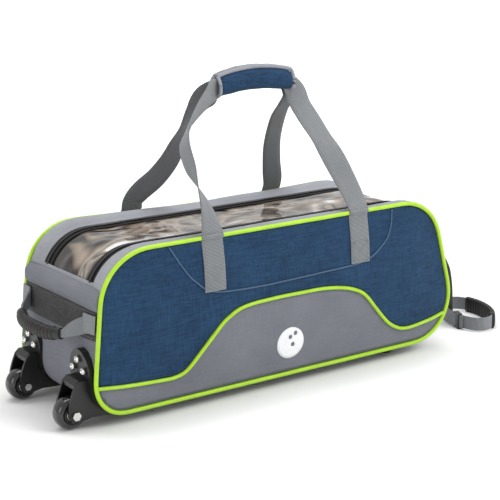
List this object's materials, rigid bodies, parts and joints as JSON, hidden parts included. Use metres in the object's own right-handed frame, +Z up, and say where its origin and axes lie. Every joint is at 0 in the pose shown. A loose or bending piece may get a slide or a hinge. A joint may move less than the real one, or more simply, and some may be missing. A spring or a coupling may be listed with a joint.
{
  "type": "rolling bowling bag",
  "caption": "Long soft-sided rolling tote for bowling balls, with wheels at one end, a zip lid with a clear window, padded carry handles, an end grab handle and a pull strap.",
  "frame": {"origin": "on the underside of the flat base panel, midway between the sides, below the middle of the body's length", "axes": "+X along the bag from the wheel end to the pull-strap end, -Y to the side with the emblem, +Z up"},
  "size_m": [0.9166, 0.2518, 0.496],
  "materials": {
    "blue_fabric": "heathered blue polyester, cross-hatch weave",
    "gray_fabric": "cool gray coated polyester",
    "lime_piping": "lime green piping cord",
    "seam_piping": "thin light blue piping",
    "black_tape": "black zip tape and webbing",
    "window_vinyl": "clear glossy vinyl sheet",
    "webbing": "ribbed light gray webbing",
    "dark_webbing": "ribbed dark gray webbing",
    "moulded_plastic": "black moulded nylon, semi-matt",
    "rubber": "black rubber",
    "steel": "bright plated steel",
    "foam": "charcoal closed-cell foam",
    "board": "black plastic sheet",
    "print": "white printed film"
  },
  "bodies": {
    "root": {"side_panel_near_upper": "blue_fabric", "side_panel_far_upper": "blue_fabric", "side_panel_near_lower": "gray_fabric", "side_panel_far_lower": "gray_fabric", "base_panel": "gray_fabric", "wheel_end_panel": "gray_fabric", "wheel_end_roll": "gray_fabric", "strap_end_panel": "gray_fabric", "gusset_strip_near": "gray_fabric", "gusset_strip_far": "gray_fabric", "rim_piping_near": "lime_piping", "rim_piping_far": "lime_piping", "accent_piping_near": "lime_piping", "accent_piping_far": "lime_piping", "pocket_piping_near": "seam_piping", "pocket_piping_far": "seam_piping", "zip_tape_gusset": "black_tape", "lid_frame_rear": "black_tape", "pull_anchor_patch": "black_tape", "window_rear": "window_vinyl", "strap_tab_near_wheel": "webbing", "strap_tab_far_wheel": "webbing", "strap_tab_near_front": "webbing", "strap_tab_far_front": "webbing", "carry_strap_near": "webbing", "carry_strap_far": "webbing", "grab_loop_near": "webbing", "grab_loop_far": "webbing", "wheel_end_band": "dark_webbing", "wheel_housing_near": "moulded_plastic", "wheel_housing_far": "moulded_plastic", "skid_foot_near": "rubber", "skid_foot_far": "rubber", "axle_bolt_near": "steel", "axle_bolt_far": "steel", "rivet_set_near": "steel", "rivet_set_far": "steel", "ball_cradle": "foam", "side_stiffener_near": "foam", "side_stiffener_far": "foam", "base_board": "board", "ball_emblem": "print"},
    "lid": {"window_front": "window_vinyl", "lid_frame_front": "black_tape"},
    "zip_slider": {"zip_slider": "steel"},
    "zip_pull_tab": {"zip_pull_tab": "moulded_plastic"},
    "wheel_near": {"tyre_near": "rubber", "hub_near": "moulded_plastic"},
    "wheel_far": {"tyre_far": "rubber", "hub_far": "moulded_plastic"},
    "carry_grip": {"grip_wrap": "blue_fabric"},
    "grip_flap": {"grip_flap": "blue_fabric"},
    "grab_handle": {"grab_webbing": "webbing", "grab_grip": "rubber"},
    "pull_strap": {"pull_webbing": "dark_webbing"},
    "pull_loop": {"loop_webbing": "webbing", "loop_grip": "rubber", "tri_glide": "moulded_plastic"}
  },
  "joints": [
    {"name": "lid_open", "type": "hinge", "parent": "root", "child": "lid", "pos_m": [0.1777, 0, 0.2402], "axis": [0, -1, 0], "range_deg": [0, 88]},
    {"name": "zip_run", "type": "slide", "parent": "lid", "child": "zip_slider", "axis": [-0.2416, 0, 0.9704], "range_m": [0, 0.028]},
    {"name": "pull_tab_swing", "type": "hinge", "parent": "zip_slider", "child": "zip_pull_tab", "pos_m": [0.32086, -0.0685, 0.15492], "axis": [0, -1, 0], "range_deg": [0, 110]},
    {"name": "wheel_near_spin", "type": "hinge", "parent": "root", "child": "wheel_near", "pos_m": [-0.381, -0.081, 0.005], "axis": [0, 1, 0], "continuous": true},
    {"name": "wheel_far_spin", "type": "hinge", "parent": "root", "child": "wheel_far", "pos_m": [-0.381, 0.081, 0.005], "axis": [0, 1, 0], "continuous": true},
    {"name": "carry_grip_drop", "type": "slide", "parent": "root", "child": "carry_grip", "axis": [0, 0, -1], "range_m": [0, 0.13], "deforming": ["carry_strap_near", "carry_strap_far"]},
    {"name": "grip_flap_open", "type": "hinge", "parent": "carry_grip", "child": "grip_flap", "pos_m": [0.014, -0.009, 0.433], "axis": [1, 0, 0], "range_deg": [0, 100]},
    {"name": "grab_handle_lift", "type": "hinge", "parent": "root", "child": "grab_handle", "pos_m": [-0.36, 0, 0.136], "axis": [0, 1, 0], "range_deg": [-15, 60]},
    {"name": "pull_strap_lift", "type": "hinge", "parent": "root", "child": "pull_strap", "pos_m": [0.343, 0, 0.112], "axis": [0, -1, 0], "range_deg": [0, 105]},
    {"name": "pull_loop_swing", "type": "hinge", "parent": "pull_strap", "child": "pull_loop", "pos_m": [0.438, 0, 0.006], "axis": [0, -1, 0], "range_deg": [-60, 5]}
  ],
  "couplings": [
    {"joint": "pull_loop_swing", "follows": "pull_strap_lift", "ratio": -0.55}
  ]
}
